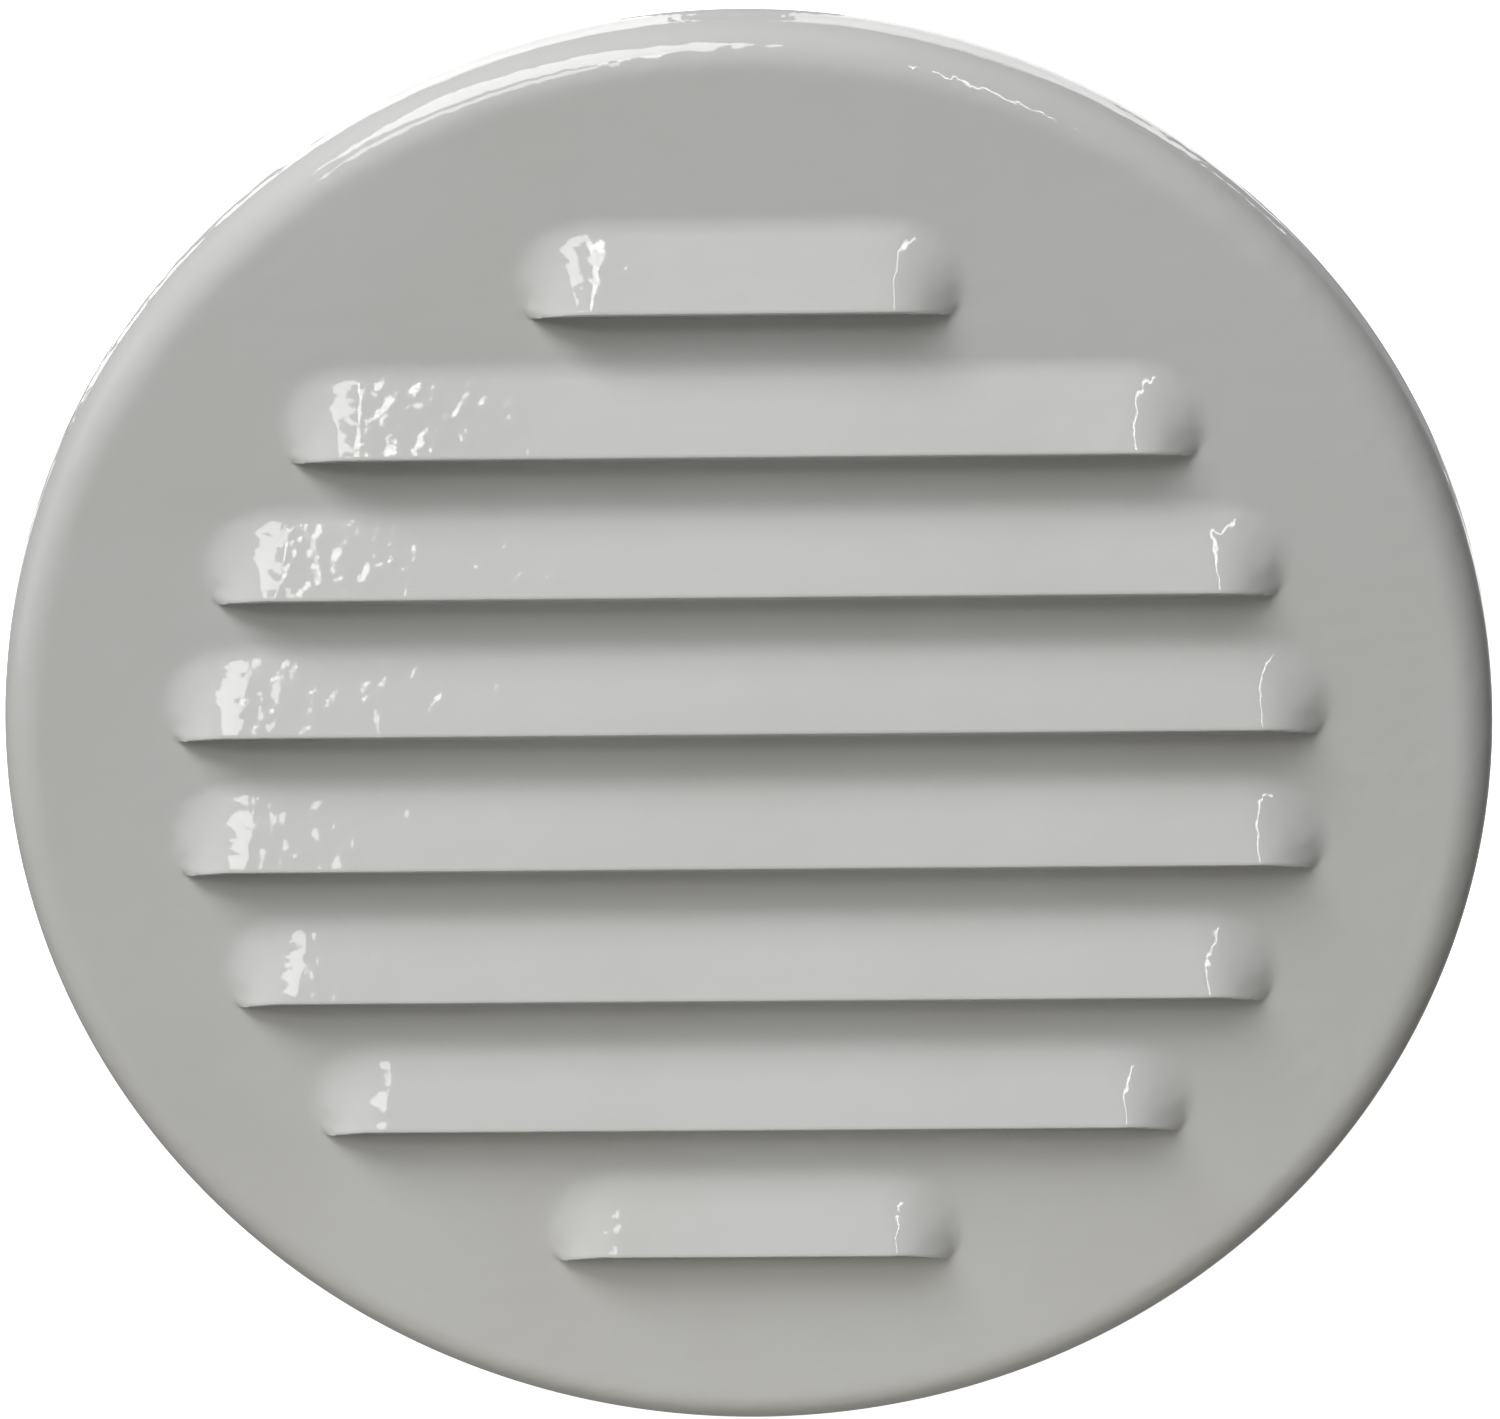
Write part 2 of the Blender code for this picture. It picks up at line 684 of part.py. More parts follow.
def main():
    clear_scene()
    new_collection(PARTS)
    new_collection(CUTTERS)
    finishes = {
        "paint": new_material("white_gloss_paint", (0.80, 0.81, 0.79), 0.18, 0.0),
        "zinc": new_material("zinc_plated_sheet", (0.62, 0.63, 0.64), 0.38, 1.0),
        "steel": new_material("bright_steel", (0.58, 0.57, 0.55), 0.28, 1.0),
        "wire": new_material("stainless_wire", (0.50, 0.50, 0.49), 0.35, 1.0),
        "spring": new_material("spring_steel", (0.32, 0.31, 0.30), 0.33, 1.0),
        "foam": new_material("grey_foam", (0.10, 0.10, 0.105), 0.9, 0.0),
        "rubber": new_material("black_rubber", (0.03, 0.03, 0.03), 0.7, 0.0),
    }
    frame = new_empty("wall_plane", turn=(TURN / 4, 0, 0))
    clips = [
        new_empty(f"clip_place_{number}", frame, turn=(0, 0, angle))
        for number, angle in enumerate(CLIP_ANGLES, 1)
    ]
    make_face_plate(frame, finishes["paint"])
    make_insect_mesh(frame, finishes["wire"])
    make_collar(frame, finishes["zinc"])
    make_gasket(frame, finishes["foam"])
    for number, place in enumerate(around(STUD_COUNT, STUD_CIRCLE, TURN / 8), 1):
        make_stud_set(frame, number, place, finishes["steel"], finishes["zinc"])
    for number, clip in enumerate(clips, 1):
        make_clip(clip, number, finishes)


main()
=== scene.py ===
"""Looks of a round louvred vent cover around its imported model.

World: metres, X right, Z up, the wall is the plane Y = 0 and the face looks along -Y. Most
pieces are drawn in the cover's own frame, whose X is right, whose Y is up and whose Z points out
of the wall, and a clip's pieces in the clip's frame, whose X points away from the duct's axis.
"""

import logging
import math
from collections.abc import Sequence
from dataclasses import dataclass, field
from enum import Enum
from math import cos, radians, sin

import bmesh
import bpy
from mathutils import Matrix, Vector, noise


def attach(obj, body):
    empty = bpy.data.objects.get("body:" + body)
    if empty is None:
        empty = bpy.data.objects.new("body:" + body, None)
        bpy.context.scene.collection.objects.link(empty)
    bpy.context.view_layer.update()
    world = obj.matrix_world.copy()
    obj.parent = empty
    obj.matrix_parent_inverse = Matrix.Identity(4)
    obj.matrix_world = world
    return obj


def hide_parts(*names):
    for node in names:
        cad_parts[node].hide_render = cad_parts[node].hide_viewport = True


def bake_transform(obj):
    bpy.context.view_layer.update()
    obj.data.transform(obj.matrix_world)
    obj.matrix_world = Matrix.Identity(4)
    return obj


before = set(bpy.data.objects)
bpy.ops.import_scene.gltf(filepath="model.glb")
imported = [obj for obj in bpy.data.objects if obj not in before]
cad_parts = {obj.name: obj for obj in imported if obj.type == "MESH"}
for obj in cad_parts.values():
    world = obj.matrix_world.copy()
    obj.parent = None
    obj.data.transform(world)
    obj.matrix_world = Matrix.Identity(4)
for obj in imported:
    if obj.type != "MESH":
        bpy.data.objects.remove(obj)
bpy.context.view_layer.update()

LOG = logging.getLogger("vent_cover")

MM = 0.001
TURN = math.tau
QUARTER = math.pi / 2
WELD = 1e-7  # points that are nearer each other than this are one
MIX_FIRST, MIX_SECOND, MIX_RESULT = 6, 7, 2  # the colour sockets of a Mix node
FLAT = radians(1)  # faces that turn by less than this are one
COVER = "cover"  # the body that carries all but the clips' levers
STUDS = 4
CLIP_ANGLES = (90, 210, 330)  # in degrees from the cover's right
OUT_OF_WALL = Matrix.Rotation(QUARTER, 4, "X")  # the cover's own frame in the world
Pair = tuple[float, float]
Triple = tuple[float, float, float]
Colour = Triple
Profile = Sequence[Pair]
Stretches = Sequence[tuple[float, int]]
Socket = bpy.types.NodeSocket
Blocks = bmesh.types.BMesh
Value = "Signal | Socket | float | Sequence[float]"


class Slot(Enum):
    """The record's material slots."""

    PAINT = "white_paint"
    SCREEN = "stainless_mesh"
    SHEET = "zinc_sheet"
    FASTENER = "zinc_fastener"
    STEEL = "bright_steel"
    SPRING = "spring_steel"
    FOAM = "foam"
    RUBBER = "rubber"


# ---- materials


class Signal:
    """A number that varies over a surface, and takes part in Python arithmetic."""

    def __init__(self, bench: "Bench", socket: Socket) -> None:
        """Wraps an output socket of the bench's tree."""
        self.bench = bench
        self.socket = socket

    def _math(self, operation: str, first: "Value", second: "Value") -> "Signal":
        """The result of a Math node with this operation and these two values."""
        made = self.bench.add("ShaderNodeMath", {"operation": operation}, {0: first, 1: second})
        return Signal(self.bench, made.outputs[0])

    def __add__(self, other: "Value") -> "Signal":
        """self + other."""
        return self._math("ADD", self, other)

    def __radd__(self, other: "Value") -> "Signal":
        """other + self."""
        return self._math("ADD", other, self)

    def __sub__(self, other: "Value") -> "Signal":
        """self - other."""
        return self._math("SUBTRACT", self, other)

    def __rsub__(self, other: "Value") -> "Signal":
        """other - self."""
        return self._math("SUBTRACT", other, self)

    def __mul__(self, other: "Value") -> "Signal":
        """self * other."""
        return self._math("MULTIPLY", self, other)

    def __rmul__(self, other: "Value") -> "Signal":
        """other * self."""
        return self._math("MULTIPLY", other, self)

    def above(self, low: float, high: float) -> "Signal":
        """0 at low, 1 at high, and smooth between them."""
        made = self.bench.add(
            "ShaderNodeMapRange",
            {"interpolation_type": "SMOOTHSTEP"},
            {"Value": self, "From Min": low, "From Max": high},
        )
        return Signal(self.bench, made.outputs["Result"])


class Bench:
    """Adds nodes to one tree and links them."""

    def __init__(self, tree: bpy.types.NodeTree) -> None:
        """Starts on an empty tree."""
        self.tree = tree
        tree.nodes.clear()

    def add(
        self,
        kind: str,
        settings: dict[str, object] | None = None,
        sockets: dict[str | int, "Value"] | None = None,
    ) -> bpy.types.Node:
        """Adds a node of any type.

        Args:
            kind: the node's type.
            settings: its properties, set first. "stops" holds a ramp's (place, colour) pairs.
            sockets: the value or link of each input, by its name or number.

        Returns:
            The node.
        """
        made = self.tree.nodes.new(kind)
        for name, value in (settings or {}).items():
            if name == "stops":
                self._set_stops(made.color_ramp, value)
            else:
                setattr(made, name, value)
        for name, value in (sockets or {}).items():
            self._feed(made.inputs[name], value)
        return made

    def _feed(self, socket: Socket, value: "Value") -> None:
        """Links or sets one input."""
        if isinstance(value, Signal):
            value = value.socket
        if isinstance(value, Socket):
            self.tree.links.new(value, socket)
        else:
            socket.default_value = value

    @staticmethod
    def _set_stops(ramp: bpy.types.ColorRamp, stops: Sequence[tuple[float, Colour]]) -> None:
        """Gives a ramp its stops."""
        while len(ramp.elements) < len(stops):
            ramp.elements.new(1.0)
        for element, (place, colour) in zip(ramp.elements, stops):
            element.position = place
            element.color = (*colour, 1.0)

    def place(self, stretch: Sequence[float] = (1, 1, 1)) -> Socket:
        """The place on the object in millimetres, times a factor for each axis."""
        where = self.add("ShaderNodeTexCoord").outputs["Object"]
        sockets = {0: where, 1: [factor / MM for factor in stretch]}
        return self.add("ShaderNodeVectorMath", {"operation": "MULTIPLY"}, sockets).outputs[0]

    def noise(
        self, per_mm: float, detail: float = 2, stretch: Sequence[float] = (1, 1, 1)
    ) -> Signal:
        """Soft noise about 0.5, by its bumps to a millimetre, its octaves and its stretch."""
        made = self.add(
            "ShaderNodeTexNoise",
            None,
            {"Vector": self.place(stretch), "Scale": per_mm, "Detail": detail},
        )
        return Signal(self, made.outputs["Fac"])

    def cells(self, per_mm: float, output: str, feature: str = "F1") -> Socket:
        """The "Distance" or "Color" of cells, by how many there are to a millimetre."""
        made = self.add(
            "ShaderNodeTexVoronoi", {"feature": feature}, {"Vector": self.place(), "Scale": per_mm}
        )
        return made.outputs[output]

    def mix(self, share: "Value", low: "Value", high: "Value") -> Socket:
        """A colour between two.

        Args:
            share: 0 for the first, 1 for the second.
            low: the first colour, or its socket.
            high: the second colour, or its socket.

        Returns:
            The colour's socket.
        """
        low, high = (
            side if isinstance(side, Socket) else (*side, 1.0) for side in (low, high)
        )
        sockets = {0: share, MIX_FIRST: low, MIX_SECOND: high}
        return self.add("ShaderNodeMix", {"data_type": "RGBA"}, sockets).outputs[MIX_RESULT]

    def bump(self, height: Signal, depth: float) -> Socket:
        """A normal from a height, by the metres that a height of 1 is worth."""
        sockets = {"Height": height, "Distance": depth, "Strength": 1.0}
        return self.add("ShaderNodeBump", None, sockets).outputs["Normal"]

    def principled(self, sockets: dict[str | int, "Value"]) -> None:
        """Ends a material in one Principled shader with these inputs."""
        shader = self.add("ShaderNodeBsdfPrincipled", None, sockets)
        self.add("ShaderNodeOutputMaterial", None, {"Surface": shader.outputs[0]})


@dataclass(frozen=True)
class Finish:
    """A finish of the cover. Each kind fills in its own nodes."""

    name: str

    def material(self) -> bpy.types.Material:
        """The finish as a material."""
        made = bpy.data.materials.new(self.name)
        made.use_nodes = True
        self.fill(Bench(made.node_tree))
        return made

    def fill(self, bench: Bench) -> None:
        """Adds the finish's nodes to an empty tree."""
        raise NotImplementedError


@dataclass(frozen=True)
class GlossPaint(Finish):
    """Gloss white enamel with orange peel, a few nibs and specks of dust."""

    name: str = "gloss_white_enamel"
    colour: Colour = (0.80, 0.812, 0.795)
    shade: Colour = (0.77, 0.775, 0.757)
    speck: Colour = (0.30, 0.29, 0.27)
    roughness: float = 0.035
    cloud_per_mm: float = 0.03
    specks_per_mm: float = 0.09
    speck_edge: Pair = (0.014, 0.024)
    nibs_per_mm: float = 0.05
    nib_edge: Pair = (0.012, 0.03)
    nib_share: float = 0.3
    wave_per_mm: float = 0.4
    ripple_per_mm: float = 1.6
    peel_depth: float = 0.00011

    def fill(self, bench: Bench) -> None:
        """Adds the enamel's nodes."""
        cloud = bench.noise(self.cloud_per_mm, 3).above(0.35, 0.7)
        speck = Signal(bench, bench.cells(self.specks_per_mm, "Distance"))
        nib = Signal(bench, bench.cells(self.nibs_per_mm, "Distance", "SMOOTH_F1"))
        nibs = 1 - nib.above(*self.nib_edge)
        dusty = bench.noise(self.nibs_per_mm, 0).above(0.56, 0.6)
        specks = (1 - speck.above(*self.speck_edge)) * dusty
        colour = bench.mix(cloud, self.colour, self.shade)
        colour = bench.mix(specks, colour, self.speck)
        wave, ripple = bench.noise(self.wave_per_mm, 1), bench.noise(self.ripple_per_mm, 0)
        peel = wave * 0.9 + ripple * 0.06
        bench.principled(
            {
                "Base Color": colour,
                "Roughness": bench.noise(self.wave_per_mm, 2) * 0.03 + self.roughness,
                "IOR": 1.5,
                "Normal": bench.bump(peel + nibs * self.nib_share, self.peel_depth),
            }
        )


@dataclass(frozen=True)
class ZincSheet(Finish):
    """Galvanised sheet: spangles of slightly different grey, with fine rolling marks."""

    name: str = "galvanised_sheet"
    light: Colour = (0.66, 0.67, 0.68)
    dark: Colour = (0.47, 0.48, 0.50)
    bare: Colour = (0.52, 0.52, 0.51)
    spangle_per_mm: float = 0.22
    roll_stretch: Triple = (1, 12, 1)
    roughness: float = 0.26
    mark_depth: float = 0.00001

    def fill(self, bench: Bench) -> None:
        """Adds the sheet's nodes."""
        cells = bench.cells(self.spangle_per_mm, "Color")
        tint = bench.add("ShaderNodeSeparateColor", None, {0: cells})
        spangle = Signal(bench, tint.outputs[0])
        rolled = bench.noise(0.6, 2, self.roll_stretch)
        dull = bench.noise(0.12, 4).above(0.45, 0.75)
        colour = bench.mix(spangle * 0.7 + rolled * 0.3, self.dark, self.light)
        colour = bench.mix(dull * 0.45, colour, self.bare)
        marks = rolled * 0.8 + bench.noise(0.35, 1) * 0.2
        bench.principled(
            {
                "Base Color": colour,
                "Metallic": 1.0,
                "Roughness": spangle * 0.16 + dull * 0.2 + self.roughness,
                "Normal": bench.bump(marks, self.mark_depth),
            }
        )


@dataclass(frozen=True)
class TurnedMetal(Finish):
    """Plated or bare steel: fine tool marks, a little staining, duller in patches."""

    light: Colour = (0.62, 0.61, 0.59)
    dark: Colour = (0.42, 0.41, 0.40)
    stain: Colour = (0.45, 0.40, 0.33)
    roughness: float = 0.24
    marks_per_mm: float = 6.0
    mark_stretch: Triple = (1, 6, 1)
    mark_depth: float = 0.000006

    def fill(self, bench: Bench) -> None:
        """Adds the metal's nodes."""
        marks = bench.noise(self.marks_per_mm, 2, self.mark_stretch)
        patch = bench.noise(0.5, 3).above(0.4, 0.7)
        colour = bench.mix(marks, self.dark, self.light)
        colour = bench.mix(patch * 0.3, colour, self.stain)
        bench.principled(
            {
                "Base Color": colour,
                "Metallic": 1.0,
                "Roughness": marks * 0.12 + patch * 0.12 + self.roughness,
                "Normal": bench.bump(marks, self.mark_depth),
            }
        )


@dataclass(frozen=True)
class Foam(Finish):
    """Closed-cell foam: dark grey, matt, with small open cells where it was cut, which carry
    painted shade: they are coloured darker as if in their own shadow.
    """

    name: str = "closed_cell_foam"
    skin: Colour = (0.085, 0.087, 0.092)
    # painted shade: the colour of the open cells, darker as if shadowed inside them
    shaded_pore: Colour = (0.03, 0.03, 0.033)
    faded: Colour = (0.12, 0.12, 0.125)
    cells_per_mm: float = 1.9
    roughness: float = 0.86
    cell_depth: float = 0.00012

    def fill(self, bench: Bench) -> None:
        """Adds the foam's nodes."""
        cell = Signal(bench, bench.cells(self.cells_per_mm, "Distance"))
        # Painted shade: a mask of the open cells, where the colour goes towards the dark pore
        # colour
        shaded_pore = 1 - cell.above(0.1, 0.45)
        blotch = bench.noise(0.15, 3).above(0.35, 0.7)
        colour = bench.mix(shaded_pore * 0.8, self.skin, self.shaded_pore)
        colour = bench.mix(blotch * 0.4, colour, self.faded)
        bench.principled(
            {
                "Base Color": colour,
                "Roughness": blotch * 0.06 + self.roughness,
                "Normal": bench.bump(cell, self.cell_depth),
            }
        )


@dataclass(frozen=True)
class Rubber(Finish):
    """Moulded black rubber with a fine grain and a little bloom."""

    name: str = "moulded_rubber"
    colour: Colour = (0.022, 0.022, 0.023)
    bloom: Colour = (0.06, 0.06, 0.058)
    grain_per_mm: float = 7
    grain_depth: float = 0.00004
    roughness: float = 0.52

    def fill(self, bench: Bench) -> None:
        """Adds the rubber's nodes."""
        grain = bench.noise(self.grain_per_mm, 3)
        bloom = bench.noise(0.45, 4).above(0.45, 0.75)
        bench.principled(
            {
                "Base Color": bench.mix(bloom * 0.6, self.colour, self.bloom),
                "Roughness": bloom * 0.15 + self.roughness,
                "Normal": bench.bump(grain, self.grain_depth),
            }
        )


@dataclass(frozen=True)
class PaleFloor(Finish):
    """A plain pale studio floor."""

    name: str = "pale_floor"
    colour: Colour = (0.9, 0.9, 0.895)
    roughness: float = 0.58
    glow: float = 0.9

    def fill(self, bench: Bench) -> None:
        """Adds the floor's nodes."""
        bench.principled(
            {
                "Base Color": (*self.colour, 1.0),
                "Roughness": bench.noise(0.01, 2) * 0.04 + self.roughness,
                "Emission Color": (1.0, 1.0, 1.0, 1.0),
                "Emission Strength": self.glow,
            }
        )


FINISHES: dict[Slot, Finish] = {
    Slot.PAINT: GlossPaint(),
    Slot.SCREEN: TurnedMetal("stainless_wire", roughness=0.28, marks_per_mm=3.0),
    Slot.SHEET: ZincSheet(),
    Slot.FASTENER: TurnedMetal(
        "zinc_plate", light=(0.66, 0.68, 0.70), dark=(0.48, 0.49, 0.53), stain=(0.60, 0.56, 0.44)
    ),
    Slot.STEEL: TurnedMetal("bright_steel"),
    Slot.SPRING: TurnedMetal(
        "drawn_spring_wire", light=(0.36, 0.35, 0.34), dark=(0.2, 0.2, 0.2), roughness=0.3
    ),
    Slot.FOAM: Foam(),
    Slot.RUBBER: Rubber(),
}


# ---- making


def placed(name: str, data: bpy.types.ID) -> bpy.types.Object:
    """A new object in the scene with this data."""
    made = bpy.data.objects.new(name, data)
    bpy.context.scene.collection.objects.link(made)
    return made


@dataclass
class Workshop:
    """Finishes pieces: gives each its mesh, its material, its body and its node."""

    materials: dict[Slot, bpy.types.Material] = field(default_factory=dict)

    def material(self, slot: Slot) -> bpy.types.Material:
        """The material of a slot, made the first time it is asked for."""
        if slot not in self.materials:
            self.materials[slot] = FINISHES[slot].material()
        return self.materials[slot]

    def add(
        self,
        name: str,
        blocks: Blocks,
        place: Matrix,
        slot: Slot,
        node: str,
        number: int = 0,
        body: str | None = COVER,
        crease: float = 35,
    ) -> bpy.types.Object:
        """Makes a piece that stands for a CAD node.

        Args:
            name: the piece's name.
            blocks: its shape, which is used up.
            place: the frame that the shape is drawn in.
            slot: the material slot it takes its finish from.
            node: the CAD node that it replaces.
            number: what both names end in, or 0 where they are whole.
            body: the body that it rides on, or None where it rides on none.
            crease: the angle in degrees from which an edge is sharp.

        Returns:
            The piece.
        """
        if number:
            name, node = f"{name}_{number}", f"{node}_{number}"
        blocks.transform(place)
        mesh = bpy.data.meshes.new(name)
        blocks.to_mesh(mesh)
        blocks.free()
        mesh.shade_smooth()
        mesh.set_sharp_from_angle(angle=radians(crease))
        mesh.materials.append(self.material(slot))
        piece = placed(name, mesh)
        if body:
            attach(piece, body)
        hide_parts(node)
        LOG.info("%s stands for %s, %d faces", name, node, len(mesh.polygons))
        return piece


def spun(profile: Profile, steps: int, closed: bool = True) -> Blocks:
    """A profile turned about Z.

    Args:
        profile: (radius, height) points, the outer side downwards.
        steps: how many faces there are round it.
        closed: whether the profile's last point joins its first.

    Returns:
        The turned shape, its faces outwards.
    """
    blocks = bmesh.new()
    points = [blocks.verts.new((radius, 0, height)) for radius, height in profile]
    edges = [blocks.edges.new(pair) for pair in zip(points, points[1:])]
    if closed and profile[0][0] > WELD:
        edges.append(blocks.edges.new((points[-1], points[0])))
    bmesh.ops.spin(
        blocks,
        geom=points + edges,
        axis=(0, 0, 1),
        cent=(0, 0, 0),
        steps=steps,
        angle=TURN,
        use_merge=True,
    )
    bmesh.ops.remove_doubles(blocks, verts=blocks.verts, dist=WELD)
    bmesh.ops.recalc_face_normals(blocks, faces=blocks.faces)
    return blocks


def round_off(
    blocks: Blocks,
    width: float,
    least: float = 40,
    spots: Sequence[Vector] = (),
    clear: float = 0,
    clamp: bool = True,
) -> None:
    """Rounds every edge that turns by more than some angle, with two faces across.

    Args:
        blocks: the shape.
        width: the rounding's width.
        least: the angle in degrees.
        spots: places about which the edges stay as they are.
        clear: how near to them that is.
        clamp: whether the rounding is narrower where edges are close.
    """
    least = radians(least)
    sharp = [
        edge
        for edge in blocks.edges
        if edge.calc_face_angle(0) > least
        and all((vert.co - spot).length > clear for spot in spots for vert in edge.verts)
    ]
    bmesh.ops.bevel(
        blocks,
        geom=sharp,
        offset=width,
        offset_type="OFFSET",
        affect="EDGES",
        segments=2,
        profile=0.5,
        material=-1,
        clamp_overlap=clamp,
    )


def copied(node: str) -> Blocks:
    """A merged copy of a CAD node's mesh.

    Args:
        node: the node's name.

    Returns:
        The copy, whose flat faces are whole.
    """
    blocks = bmesh.new()
    blocks.from_mesh(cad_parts[node].data)
    bmesh.ops.remove_doubles(blocks, verts=blocks.verts, dist=10 * WELD)
    bmesh.ops.dissolve_limit(blocks, angle_limit=FLAT, verts=blocks.verts, edges=blocks.edges)
    return blocks


def tube(paths: Sequence[Sequence[Vector]], radius: float, sides: int) -> Blocks:
    """Round wires along paths.

    Args:
        paths: the points of each wire's centre line.
        radius: the wires' radius.
        sides: 4 for a square section, or a multiple of 4 above it.

    Returns:
        The wires, with closed ends.
    """
    curve = bpy.data.curves.new("wire", "CURVE")
    curve.dimensions = "3D"
    curve.bevel_depth = radius
    curve.bevel_resolution = sides // 2 - 2
    curve.use_fill_caps = True
    for path in paths:
        spline = curve.splines.new("POLY")
        spline.points.add(len(path) - 1)
        for point, spot in zip(spline.points, path):
            point.co = (*spot, 1)
    holder = placed("wire", curve)
    bpy.context.view_layer.update()
    graph = bpy.context.evaluated_depsgraph_get()
    mesh = bpy.data.meshes.new_from_object(holder.evaluated_get(graph))
    blocks = bmesh.new()
    blocks.from_mesh(mesh)
    bpy.data.objects.remove(holder)
    bpy.data.curves.remove(curve)
    bpy.data.meshes.remove(mesh)
    bmesh.ops.remove_doubles(blocks, verts=blocks.verts, dist=WELD)
    bmesh.ops.recalc_face_normals(blocks, faces=blocks.faces)
    return blocks


def arc(centre: Pair, radius: float, start: float, end: float, steps: int) -> Profile:
    """Points on an arc from one angle in degrees to another, both ends included."""
    angles = [radians(start + (end - start) * step / steps) for step in range(steps + 1)]
    return [(centre[0] + radius * cos(a), centre[1] + radius * sin(a)) for a in angles]


def smooth_step(share: float) -> float:
    """0 below 0, 1 above 1 and smooth between them."""
    share = min(max(share, 0.0), 1.0)
    return share * share * (3 - 2 * share)


def soft_ramp(value: float, reach: float) -> float:
    """The larger of value and 0, rounded off within reach of 0."""
    if value <= -reach:
        return 0.0
    if value >= reach:
        return value
    return (value + reach) ** 2 / (4 * reach)


def spread(stops: Stretches, start: float) -> list[float]:
    """Stations along a line.

    Args:
        stops: (place, parts) for each stretch after the start.
        start: the first station.

    Returns:
        Every station in order.
    """
    stations = [start]
    for place, parts in stops:
        first = stations[-1]
        stations += [first + (place - first) * (part + 1) / parts for part in range(parts)]
    return stations


# ---- face plate


@dataclass
class Louvre:
    """One pressed hood: a slit in the sheet whose upper side is drawn out into a sloping hood."""

    slit: float  # the slit's place up the cover
    half_length: float
    height: float = 4.3 * MM
    slope: float = 0.52
    pull: float = 1.8 * MM  # how far the lip is drawn up from the slit
    ridge_inset: float = 5.6 * MM
    ridge_round: float = 2.1 * MM
    bulge: float = 7.45 * MM  # how far the cheek's foot is from the ridge where it is widest
    bulge_rise: float = 3.5 * MM
    lean: float = 0.25  # how much the ridge comes in to each unit of rise
    lean_from: float = 5.0 * MM
    fillet: float = 1.05 * MM
    fillet_start: float = 2.5 * MM
    fillet_share: float = 0.45  # the most that it takes of a cheek's foot
    reach: float = 12.4 * MM  # the patch's top edge above the slit
    margin: float = 1.5 * MM  # the patch's bottom edge below the slit
    ridge_lines: Stretches = ((-3.4 * MM, 12), (1.4 * MM, 16))
    end_lines: Stretches = ((0.0, 12), (2.6 * MM, 8), (3.3 * MM, 1))
    slit_lines: Stretches = ((-0.8 * MM, 1), (0.0, 2), (0.45 * MM, 1), (1.4 * MM, 3))
    crest_lines: Stretches = ((-1.6 * MM, 12), (1.4 * MM, 12))

    @property
    def ridge(self) -> float:
        """How far out the ridge between the ramp and a cheek is."""
        return self.half_length - self.ridge_inset

    @property
    def crest(self) -> float:
        """Where the ramp would meet the plate if it had no fillet, above the slit."""
        return self.pull + self.height / self.slope

    def foot(self, rise: float) -> float:
        """How far the cheek's foot is from the ridge at some rise above the slit."""
        if rise < self.bulge_rise:
            share = (self.bulge_rise - rise) / self.bulge_rise
            return self.bulge - (self.bulge - self.ridge_inset) * share * share
        top = self.crest + self.fillet
        share = min((rise - self.bulge_rise) / (top - self.bulge_rise), 1.0)
        return self.bulge * math.sqrt(1 - share * share)

    def drawn(self, across: float, rise: float) -> float:
        """The sheet's height over the plate.

        Args:
            across: the place along the slit, from its middle.
            rise: the place above the slit.

        Returns:
            The height.
        """
        ramp = soft_ramp(self.height - self.slope * (rise - self.pull), self.fillet * self.slope)
        shift = self.lean * (rise - self.lean_from)
        beyond = soft_ramp(abs(across) - self.ridge + shift, self.ridge_round)
        foot = self.foot(rise) + shift
        if beyond >= foot:
            return 0.0
        rounding = self.fillet * smooth_step(rise / self.fillet_start)
        rounding = min(rounding, self.fillet_share * foot)
        straight = foot - rounding
        return ramp * soft_ramp(1 - beyond / straight, max(rounding / straight, WELD))

    def lip_share(self, across: float) -> float:
        """The lip's height at a place along it over its full height."""
        shift = self.lean * self.lean_from
        beyond = soft_ramp(abs(across) - self.ridge - shift, self.ridge_round)
        return max(1 - beyond / (self.ridge_inset - shift), 0.0)

    def stations(self) -> tuple[list[float], list[float]]:
        """The patch's stations.

        Returns:
            Those along the slit, and those up from it.
        """
        by_ridge = [(self.ridge + gap, parts) for gap, parts in self.ridge_lines]
        by_end = [(self.half_length + gap, parts) for gap, parts in self.end_lines]
        by_crest = [(self.crest + gap, parts) for gap, parts in self.crest_lines]
        right = spread(by_ridge + by_end, 0.0)
        across = [-place for place in reversed(right[1:])] + right
        up = spread([*self.slit_lines, *by_crest, (self.reach, 1)], -self.margin)
        return across, up

    def press(self, blocks: Blocks, face: float) -> list[bmesh.types.BMEdge]:
        """Adds the hood and the strip of plate round it.

        Args:
            blocks: the plate's shape so far.
            face: the plate's height.

        Returns:
            The edges round the patch.
        """
        across, up = self.stations()
        columns, rows = len(across) - 1, len(up) - 1
        half = 0.5  # of the grid as it is made, before it is moved to the stations
        made = bmesh.ops.create_grid(blocks, x_segments=columns, y_segments=rows, size=half)
        grid = made["verts"]
        slit_row = up.index(min(up, key=abs))
        up[slit_row] = 0.0
        along_slit = set()
        for vert in grid:
            column = round((vert.co.x + half) * columns)
            row = round((vert.co.y + half) * rows)
            vert.co = (across[column], up[row], face)
            if row == slit_row and abs(across[column]) <= self.half_length + WELD:
                along_slit.add(vert)
        faces = dict.fromkeys(one for vert in grid for one in vert.link_faces)
        slit = dict.fromkeys(
            edge for one in faces for edge in one.edges if along_slit.issuperset(edge.verts)
        )
        bmesh.ops.split_edges(blocks, edges=list(slit))
        verts = dict.fromkeys(vert for one in faces for vert in one.verts)
        for vert in verts:
